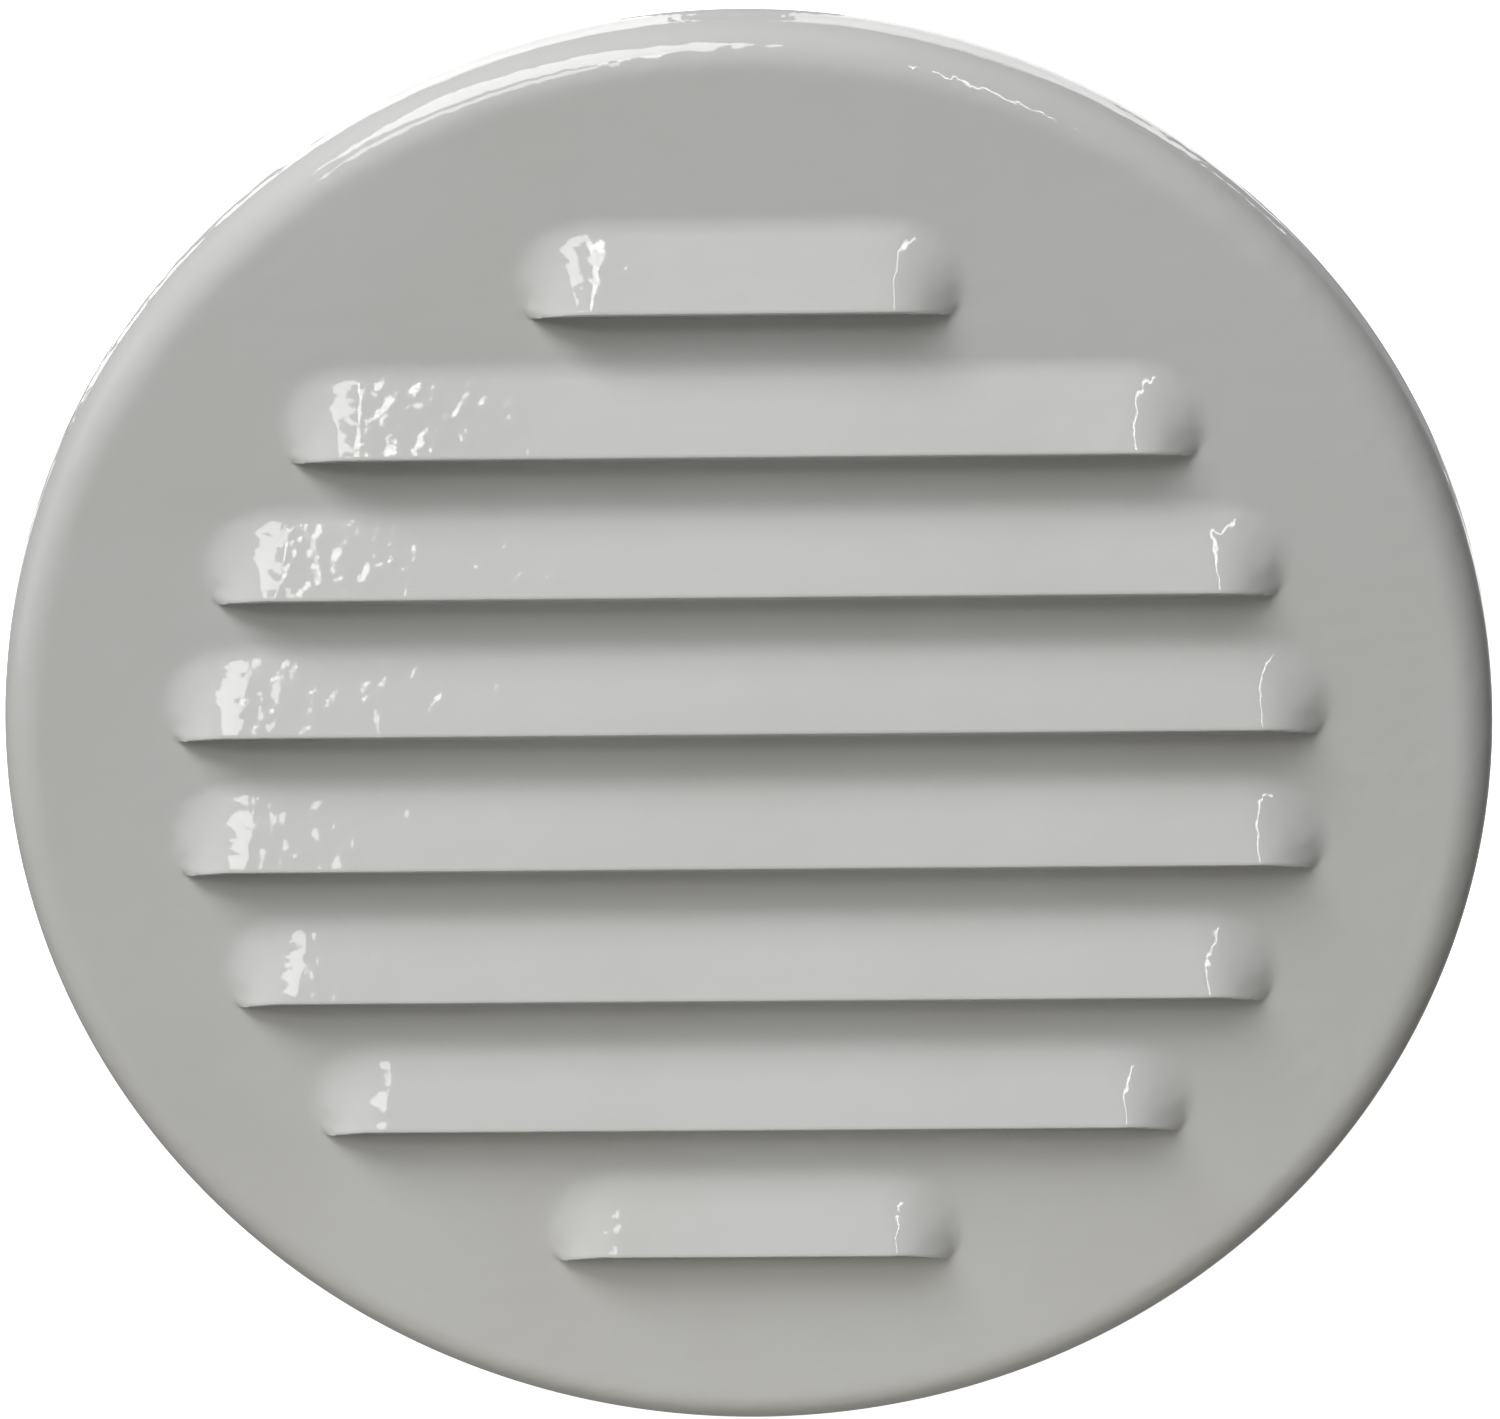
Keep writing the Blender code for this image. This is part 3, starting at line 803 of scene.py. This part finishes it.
            # Of the two copies of a point on the slit, the lower one stays where it is.
            centre = sum(one.calc_center_median().y for one in vert.link_faces)
            lower_lip = vert.co.y == 0.0 and centre < 0 and len(vert.link_faces) <= 2
            if vert.co.y < 0 or lower_lip:
                continue
            share = self.lip_share(vert.co.x)
            rise = vert.co.y + self.pull * share * (1 - vert.co.y / self.reach)
            vert.co.z = face + self.drawn(vert.co.x, rise)
            vert.co.y = rise
        bmesh.ops.translate(blocks, verts=list(verts), vec=(0, self.slit, 0))
        loose = dict.fromkeys(edge for one in faces for edge in one.edges if edge.is_boundary)
        top, bottom, side = self.slit + self.reach, self.slit + up[0], across[-1]
        return [
            edge
            for edge in loose
            if all(
                abs(vert.co.y - top) < WELD
                or abs(vert.co.y - bottom) < WELD
                or abs(abs(vert.co.x) - side) < WELD
                for vert in edge.verts
            )
        ]


@dataclass
class FacePlate:
    """The pressed and enamelled plate with its rolled rim and eight louvres."""

    sheet: float = 1.0 * MM
    radius: float = 80 * MM
    depth: float = 7.5 * MM
    roll: float = 4.5 * MM
    flare: float = 0.4 * MM
    pitch: float = 15.35 * MM
    first_slit: float = 49.5 * MM
    pulls: tuple[float, ...] = (1.4, 1.5, 1.6, 1.75, 1.85, 1.95, 2.05, 2.15)  # in millimetres
    half_lengths: tuple[float, ...] = (21.76 * MM, 46.8 * MM, 55.6 * MM, 60.56 * MM)
    round_steps: int = 288
    roll_steps: int = 14
    strip: float = 0.9 * MM  # the width of flat plate that is turned with the rim
    edge_round: float = 0.25 * MM
    cut_angle: float = 55
    end_clear: float = 2.2 * MM
    lift: float = 0.15 * MM  # the rim's edge above the wall

    def louvres(self) -> list[Louvre]:
        """The eight louvres, from the top row down."""
        lengths = self.half_lengths + tuple(reversed(self.half_lengths))
        return [
            Louvre(self.first_slit - row * self.pitch, length, pull=pull * MM)
            for row, (length, pull) in enumerate(zip(lengths, self.pulls))
        ]

    def rim(self) -> Profile:
        """The rim's outer face, from a strip of the flat plate to the edge on the wall."""
        flat = self.radius - self.flare - self.roll
        side = self.depth - self.roll
        roll = arc((flat, side), self.roll, 90, 0, self.roll_steps)
        wall = [
            (self.radius - self.flare * share, side * share + self.lift * (1 - share))
            for share in (0.5, 0)
        ]
        return [(flat - self.strip, self.depth), *roll, *wall]

    def shape(self) -> Blocks:
        """The plate as one closed sheet, its cut edges rounded but for the ends of the slits."""
        blocks = spun(self.rim(), self.round_steps, closed=False)
        outline = [
            edge
            for edge in blocks.edges
            if edge.is_boundary and all(vert.co.z > self.depth / 2 for vert in edge.verts)
        ]
        for louvre in self.louvres():
            outline += louvre.press(blocks, self.depth)
        bmesh.ops.triangle_fill(blocks, use_beauty=True, edges=outline, normal=(0, 0, 1))
        bmesh.ops.recalc_face_normals(blocks, faces=blocks.faces)
        top = max(blocks.faces, key=lambda one: one.calc_area())
        if top.normal.z < 0:
            bmesh.ops.reverse_faces(blocks, faces=blocks.faces)
        bmesh.ops.solidify(blocks, geom=blocks.faces, thickness=self.sheet)
        ends = [
            Vector((side * louvre.half_length, louvre.slit, self.depth))
            for louvre in self.louvres()
            for side in (-1, 1)
        ]
        round_off(blocks, self.edge_round, self.cut_angle, ends, self.end_clear, clamp=False)
        return blocks

    def build(self, shop: Workshop) -> None:
        """Adds the plate."""
        shop.add("enamelled_face", self.shape(), OUT_OF_WALL, Slot.PAINT, "face_plate", crease=40)


# ---- behind the face plate


@dataclass
class InsectScreen:
    """Woven wire behind the louvres."""

    radius: float = 69.2 * MM
    middle: float = 5.95 * MM  # above the wall
    pitch: float = 2.0 * MM
    wire: float = 0.15 * MM
    weave: float = 0.13 * MM

    def wires(self) -> list[list[Vector]]:
        """The centre line of every wire, in both directions."""
        paths = []
        last = math.floor(self.radius / self.pitch)
        for line in range(-last, last + 1):
            offset = line * self.pitch
            reach = math.floor(math.sqrt(self.radius**2 - offset**2) / self.pitch)
            if reach < 1:
                continue
            for crossed in (False, True):
                path = []
                for knot in range(-reach, reach + 1):
                    lift = self.weave * (1 if (knot + line + crossed) % 2 else -1)
                    along = knot * self.pitch
                    spot = (offset, along) if crossed else (along, offset)
                    path.append(Vector((*spot, self.middle + lift)))
                paths.append(path)
        return paths

    def build(self, shop: Workshop) -> None:
        """Adds the screen."""
        wires = tube(self.wires(), self.wire, sides=4)
        shop.add("woven_screen", wires, OUT_OF_WALL, Slot.SCREEN, "insect_mesh", crease=180)


@dataclass
class RimGasket:
    """The foam ring between the plate's back and the wall."""

    inner: float = 70.8 * MM
    outer: float = 75.2 * MM
    top: float = 6.2 * MM
    corner: float = 0.5 * MM
    corner_steps: int = 3
    lumps: float = 0.09 * MM
    lumps_per_metre: float = 420
    steps: int = 256

    def build(self, shop: Workshop) -> None:
        """Adds the ring, whose surface is slightly uneven."""
        corner, steps = self.corner, self.corner_steps
        low, high = self.inner + corner, self.outer - corner
        profile = [
            *arc((low, self.top - corner), corner, 180, 90, steps),
            *arc((high, self.top - corner), corner, 90, 0, steps),
            (self.outer, self.top / 2),
            *arc((high, corner), corner, 0, -90, steps),
            *arc((low, corner), corner, -90, -180, steps),
            (self.inner, self.top / 2),
        ]
        blocks = spun(profile, self.steps)
        for vert in blocks.verts:
            inward = self.lumps * (noise.noise(vert.co * self.lumps_per_metre) - 1) / 2
            vert.co += vert.normal * inward
        shop.add("foam_ring", blocks, OUT_OF_WALL, Slot.FOAM, "rim_gasket")


@dataclass
class Collar:
    """The flanged sleeve that goes into the duct."""

    edge_round: float = 0.12 * MM

    def build(self, shop: Workshop) -> None:
        """Adds the sleeve with its cut edges rounded."""
        blocks = copied("spigot_collar")
        round_off(blocks, self.edge_round)
        shop.add("duct_sleeve", blocks, Matrix(), Slot.SHEET, "spigot_collar")


@dataclass
class StudSet:
    """A threaded stud on the plate's back, with its washer and nut."""

    number: int
    circle: float = 66 * MM
    base_top: float = 6.2 * MM
    base_radius: float = 2.2 * MM
    base: float = 0.5 * MM
    radius: float = 1.5 * MM
    root: float = 1.25 * MM
    thread: float = 0.5 * MM
    thread_root: Pair = (0.45, 0.55)  # where a turn is at its root, as shares of its height
    thread_start: float = 0.2 * MM
    runout: float = 0.6 * MM
    chamfer: float = 0.3 * MM
    edge: float = 0.1 * MM
    end: float = 0.6 * MM
    washer_top: float = 4.3 * MM
    washer: float = 0.5 * MM
    washer_radius: float = 3.5 * MM
    washer_bore: float = 1.8 * MM
    nut_round: float = 0.08 * MM
    steps: int = 32

    def place(self) -> Matrix:
        """Where the stud stands, in the world."""
        angle = TURN / STUDS * (self.number - 0.5)
        spot = (self.circle * cos(angle), self.circle * sin(angle), 0)
        return OUT_OF_WALL @ Matrix.Translation(spot)

    def stud(self) -> Blocks:
        """The stud: a flat base and a thread with a chamfered end."""
        top, out, edge = self.base_top, self.base_radius, self.edge
        foot = top - self.base
        profile = [
            (0, top),
            (out - edge, top),
            (out, top - edge),
            (out, foot + edge),
            (out - edge, foot),
            (self.radius, foot),
        ]
        turns = int((foot - self.end - self.runout) / self.thread)
        for turn in range(turns):
            top = foot - self.thread_start - turn * self.thread
            profile.append((self.radius, top))
            profile += [(self.root, top - self.thread * share) for share in self.thread_root]
        profile += [(self.radius, self.end + self.chamfer), (self.root, self.end), (0, self.end)]
        return spun(profile, self.steps)

    def washer_shape(self) -> Blocks:
        """The flat washer with its edges broken."""
        low, high, edge = self.washer_top - self.washer, self.washer_top, self.edge
        bore, out = self.washer_bore, self.washer_radius
        profile = [
            (bore, high - edge),
            (bore + edge, high),
            (out - edge, high),
            (out, high - edge),
            (out, low + edge),
            (out - edge, low),
            (bore + edge, low),
            (bore, low + edge),
        ]
        return spun(profile, self.steps)

    def build(self, shop: Workshop) -> None:
        """Adds the stud, the washer and the nut."""
        number, place = self.number, self.place()
        shop.add("threaded_stud", self.stud(), place, Slot.STEEL, "weld_stud", number, crease=25)
        shop.add("flat_washer", self.washer_shape(), place, Slot.FASTENER, "stud_washer", number)
        nut = copied(f"stud_nut_{number}")
        round_off(nut, self.nut_round, least=25)
        shop.add("hexagon_nut", nut, Matrix(), Slot.FASTENER, "stud_nut", number)


# ---- spring clips


@dataclass
class SpringClip:
    """One sprung clip: a bracket riveted in the sleeve, a pin, a spring and an arm with a boot."""

    number: int
    angle: float
    pivot_radial: float = 52 * MM
    pivot_depth: float = 24 * MM
    arm_angle: float = radians(45)
    sleeve_radius: float = 60 * MM
    base: float = 58.4 * MM
    sheet: float = 0.8 * MM
    gap: float = 0.3 * MM
    rivet_depths: Pair = (29.3 * MM, 34.1 * MM)
    bracket_half_width: float = 5.4 * MM
    pin_radius: float = 1.5 * MM
    pin_head: float = 2.4 * MM
    pin_head_height: float = 0.8 * MM
    pin_washer: float = 0.5 * MM
    pin_washer_radius: float = 2.9 * MM
    pin_end: float = 1.0 * MM
    wire: float = 0.4 * MM
    coil: float = 2.3 * MM
    half_span: float = 2.3 * MM
    turns: int = 4
    turn_steps: int = 28
    arm_leg: float = 11 * MM
    tail_rise: float = 4.6 * MM
    tail_depth: float = 7.5 * MM
    edge_round: float = 0.12 * MM
    boot_round: float = 0.1 * MM
    rivet_steps: int = 24
    steps: int = 32

    @property
    def lever(self) -> str:
        """The body that turns on this clip's pin."""
        return f"clip_lever_{self.number}"

    def frame(self) -> Matrix:
        """The clip's frame: X away from the duct's axis, Y along the pin, Z to the face."""
        return OUT_OF_WALL @ Matrix.Rotation(self.angle, 4, "Z")

    def pivot(self) -> Matrix:
        """The clip's frame moved to the pin."""
        return self.frame() @ Matrix.Translation((self.pivot_radial, 0, -self.pivot_depth))

    def rivet(self) -> Blocks:
        """A blind rivet along Z: a dome with a dimple outside, a shank and a swollen tail."""
        head, top, dimple, dome = self.sleeve_radius + self.gap, 0.8 * MM, 0.6 * MM, 1.6 * MM
        tail = self.base - self.sheet - self.gap
        shank, swell, parts = 1.2 * MM, 1.5 * MM, 6
        profile = [
            (0, head + top * 0.55),
            (dimple - 0.1 * MM, head + top * 0.55),
            (dimple, head + top),
            *[
                (dimple + dome * sin(a), head + top * cos(a))
                for a in (QUARTER * step / parts for step in range(1, parts))
            ],
            (dimple + dome, head),
            (shank, head),
            (shank, tail),
            (swell, tail),
            (swell, tail - 0.4 * MM),
            (swell - 0.2 * MM, tail - 0.7 * MM),
            (swell - 0.6 * MM, tail - 0.8 * MM),
            (0, tail - 0.8 * MM),
        ]
        return spun(profile, self.rivet_steps)

    def pin(self) -> Blocks:
        """The pin along Z: a domed head, a shank and a chamfered end."""
        head = self.bracket_half_width + self.gap
        end = -(head + self.pin_washer + self.pin_end)
        top = head + self.pin_head_height
        profile = [
            (0, top),
            (self.pin_head * 0.45, top - 0.04 * MM),
            (self.pin_head * 0.8, top - 0.16 * MM),
            (self.pin_head - 0.05 * MM, top - 0.4 * MM),
            (self.pin_head, head + 0.1 * MM),
            (self.pin_head - 0.1 * MM, head),
            (self.pin_radius, head),
            (self.pin_radius, end + 0.25 * MM),
            (self.pin_radius - 0.25 * MM, end),
            (0, end),
        ]
        return spun(profile, self.steps)

    def push_washer(self) -> Blocks:
        """The push-on washer along Z, slightly dished."""
        top = -(self.bracket_half_width + self.gap)
        low = top - self.pin_washer
        bore, out = self.pin_radius + 0.1 * MM, self.pin_washer_radius
        profile = [
            (bore, top - 0.12 * MM),
            (out - 0.9 * MM, top - 0.04 * MM),
            (out - 0.1 * MM, top),
            (out, top - 0.1 * MM),
            (out, low + 0.15 * MM),
            (out - 0.15 * MM, low + 0.1 * MM),
            (out - 0.9 * MM, low + 0.06 * MM),
            (bore, low),
        ]
        return spun(profile, self.steps)

    def spring_path(self) -> list[Vector]:
        """The wire's centre line about the pivot, from the arm's web round the pin to the base."""
        tail = Vector((self.tail_rise, -self.tail_depth))
        tail_angle = math.atan2(tail.y, tail.x) + math.acos(self.coil / tail.length)
        sweep = TURN * self.turns - self.arm_angle - tail_angle
        steps = round(self.turn_steps * sweep / TURN)
        along = Vector((sin(self.arm_angle), cos(self.arm_angle)))
        square = Vector((cos(self.arm_angle), -sin(self.arm_angle)))
        path = []
        for step in range(6):
            spot = square * self.coil + along * self.arm_leg * (1 - step / 6)
            path.append(Vector((spot.x, self.half_span, spot.y)))
        for step in range(steps + 1):
            turned = -self.arm_angle - sweep * step / steps
            side = self.half_span * (1 - 2 * step / steps)
            path.append(Vector((self.coil * cos(turned), side, self.coil * sin(turned))))
        last = path[-1].copy()
        target = Vector((tail.x, -self.half_span, tail.y))
        path += [last.lerp(target, step / 4) for step in range(1, 5)]
        return path

    def add_spring(self, shop: Workshop) -> None:
        """Adds the spring round the pin; it rides on no body."""
        place = self.pivot()
        wire = tube([self.spring_path()], self.wire, 12)
        name, node = "wound_spring", "torsion_spring"
        spring = shop.add(name, wire, place, Slot.SPRING, node, self.number, body=None)
        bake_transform(spring)

    def add_copy(
        self, shop: Workshop, name: str, node: str, slot: Slot, body: str, width: float
    ) -> None:
        """Adds a rounded copy of a CAD node.

        Args:
            shop: what finishes the piece.
            name: the piece's name without its number.
            node: the node's name without its number.
            slot: the slot of its finish.
            body: the body that it rides on.
            width: the width of the rounding.
        """
        blocks = copied(f"{node}_{self.number}")
        round_off(blocks, width)
        shop.add(name, blocks, Matrix(), slot, node, self.number, body)

    def build(self, shop: Workshop) -> None:
        """Adds every piece of the clip."""
        number, lever = self.number, self.lever
        self.add_copy(shop, "pivot_bracket", "clip_bracket", Slot.SHEET, COVER, self.edge_round)
        outward = Matrix.Rotation(QUARTER, 4, "Y")
        for letter, depth in zip("ab", self.rivet_depths):
            place = self.frame() @ Matrix.Translation((0, 0, -depth)) @ outward
            name, node = f"blind_rivet_{letter}", f"rivet_{letter}"
            shop.add(name, self.rivet(), place, Slot.STEEL, node, number)
        along_pin = self.pivot() @ Matrix.Rotation(QUARTER, 4, "X")
        shop.add("headed_pin", self.pin(), along_pin, Slot.STEEL, "pivot_pin", number)
        shop.add("push_washer", self.push_washer(), along_pin, Slot.SPRING, "pin_washer", number)
        self.add_spring(shop)
        self.add_copy(shop, "folded_arm", "clip_arm", Slot.SHEET, lever, self.edge_round)
        self.add_copy(shop, "rubber_boot", "tip_sleeve", Slot.RUBBER, lever, self.boot_round)


# ---- studio


@dataclass
class SoftBox:
    """A soft light on a sphere about the cover's centre."""

    name: str
    azimuth: float  # degrees to the right of the view along +Y
    elevation: float
    distance: float
    width: float
    height: float
    radiance: float
    colour: Colour = (1.0, 1.0, 1.0)

    def build(self) -> None:
        """Adds the light, which faces the cover."""
        data = bpy.data.lights.new(self.name, "AREA")
        data.shape = "RECTANGLE"
        data.size = self.width
        data.size_y = self.height
        data.energy = self.radiance * math.pi * self.width * self.height
        data.color = self.colour
        light = placed(self.name, data)
        azimuth, elevation = radians(self.azimuth), radians(self.elevation)
        level = cos(elevation)
        towards = Vector(
            (level * sin(azimuth), -level * cos(azimuth), sin(elevation))
        )
        light.location = towards * self.distance
        light.visible_camera = False
        light.rotation_euler = towards.to_track_quat("Z", "Y").to_euler()


@dataclass
class Studio:
    """The floor, the soft lights, the surroundings and the camera."""

    floor_level: float = -80.3 * MM
    floor_size: float = 14.0
    eye: Triple = (0.0081041, -0.48363237, 0.17969434)
    towards_eye: Triple = (0.01570561, -0.93727203, 0.34824485)
    level: float = radians(0.96)
    roll: float = radians(-0.80)
    lens: float = 114.86
    sensor: float = 36
    near: float = 0.01
    aim_right: float = 0.00041789  # the tangents of the view's small turn from the cover's middle
    aim_up: float = 0.00679064
    air_low: Colour = (0.012, 0.013, 0.014)
    air_high: Colour = (0.152, 0.148, 0.141)
    air_behind: Colour = (0.45, 0.45, 0.45)
    behind_from: Pair = (0.45, 0.95)
    fade_right: float = 0.25  # how much the fill falls to the right, and upwards
    fade_up: float = 0.4
    lights: tuple[SoftBox, ...] = (
        SoftBox("key_softbox", -37, 54.5, 2.4, 1.9, 0.92, 6.8),
        SoftBox("key_skirt", -27, 33.2, 2.4, 1.1, 0.34, 5.6),
        SoftBox("glint_lamp", -12.4, 39.2, 2.4, 0.15, 0.2, 9.5, (1.0, 0.95, 0.9)),
        SoftBox("left_wall", -80, 5, 2.0, 1.2, 1.2, 0.5),
        SoftBox("right_strip", 22, 35, 2.4, 0.06, 0.9, 14.0),
        SoftBox("low_card", 0, -60, 0.14, 0.3, 0.1, 0.3, (1.0, 0.92, 0.8)),
        SoftBox("rear_right", 167, 18, 2.4, 0.8, 1.6, 1.3),
        SoftBox("rear_left", -165, 12, 2.4, 0.8, 1.8, 1.7),
        SoftBox("rear_low", 180, -20, 2.4, 1.6, 0.6, 0.8),
    )

    def add_floor(self) -> None:
        """Adds the pale floor. It doesn't tint what stands on it."""
        blocks = bmesh.new()
        bmesh.ops.create_grid(blocks, x_segments=4, y_segments=4, size=self.floor_size / 2)
        bmesh.ops.translate(blocks, verts=blocks.verts, vec=(0, 0, self.floor_level))
        mesh = bpy.data.meshes.new("studio_floor")
        blocks.to_mesh(mesh)
        blocks.free()
        mesh.materials.append(PaleFloor().material())
        floor = placed("studio_floor", mesh)
        floor.visible_diffuse = False
        floor.visible_glossy = False
        floor.visible_shadow = False

    def add_surroundings(self) -> None:
        """Adds the world: pale where the camera sees it, and a dim soft fill elsewhere."""
        world = bpy.data.worlds.new("studio_air")
        world.use_nodes = True
        bpy.context.scene.world = world
        bench = Bench(world.node_tree)
        up = bench.add("ShaderNodeTexCoord").outputs["Generated"]
        parts = bench.add("ShaderNodeSeparateXYZ", None, {0: up})
        right, back, above = (Signal(bench, parts.outputs[axis]) for axis in "XYZ")
        side = 0.5 - right * self.fade_right - above * self.fade_up
        stops = [(0.0, self.air_low), (1.0, self.air_high)]
        fill = bench.add("ShaderNodeValToRGB", {"stops": stops}, {0: side}).outputs["Color"]
        behind = bench.mix(back.above(*self.behind_from), fill, self.air_behind)
        seen = bench.add("ShaderNodeLightPath").outputs["Is Camera Ray"]
        colour = bench.mix(seen, behind, (1.0, 1.0, 1.0))
        air = bench.add("ShaderNodeBackground", None, {"Color": colour, "Strength": 1.0})
        bench.add("ShaderNodeOutputWorld", None, {"Surface": air.outputs[0]})

    def add_camera(self) -> None:
        """Adds the camera, above the cover's middle and a little to its right."""
        towards = Vector(self.towards_eye)
        level = Vector((cos(self.level), sin(self.level), 0))
        upright = level.cross(-towards)
        right = level * cos(self.roll) + upright * sin(self.roll)
        up = upright * cos(self.roll) - level * sin(self.roll)
        view = (-towards + right * self.aim_right + up * self.aim_up).normalized()
        across = view.cross(up).normalized()
        lens = bpy.data.cameras.new("camera")
        lens.lens = self.lens
        lens.sensor_width = self.sensor
        lens.clip_start = self.near
        camera = placed("camera", lens)
        turn = Matrix((across, across.cross(view), -view)).transposed()
        camera.matrix_world = Matrix.Translation(self.eye) @ turn.to_4x4()
        bpy.context.scene.camera = camera

    def build(self) -> None:
        """Adds everything round the cover."""
        self.add_floor()
        self.add_surroundings()
        for light in self.lights:
            light.build()
        self.add_camera()
        bpy.context.scene.view_settings.view_transform = "Standard"


def main() -> None:
    """Builds the studio and every sub-assembly, in order."""
    logging.basicConfig(level=logging.INFO, format="%(message)s")
    Studio().build()
    shop = Workshop()
    FacePlate().build(shop)
    InsectScreen().build(shop)
    RimGasket().build(shop)
    Collar().build(shop)
    for number in range(1, STUDS + 1):
        StudSet(number).build(shop)
    for number, angle in enumerate(CLIP_ANGLES, 1):
        SpringClip(number, radians(angle)).build(shop)


if __name__ == "__main__":
    main()
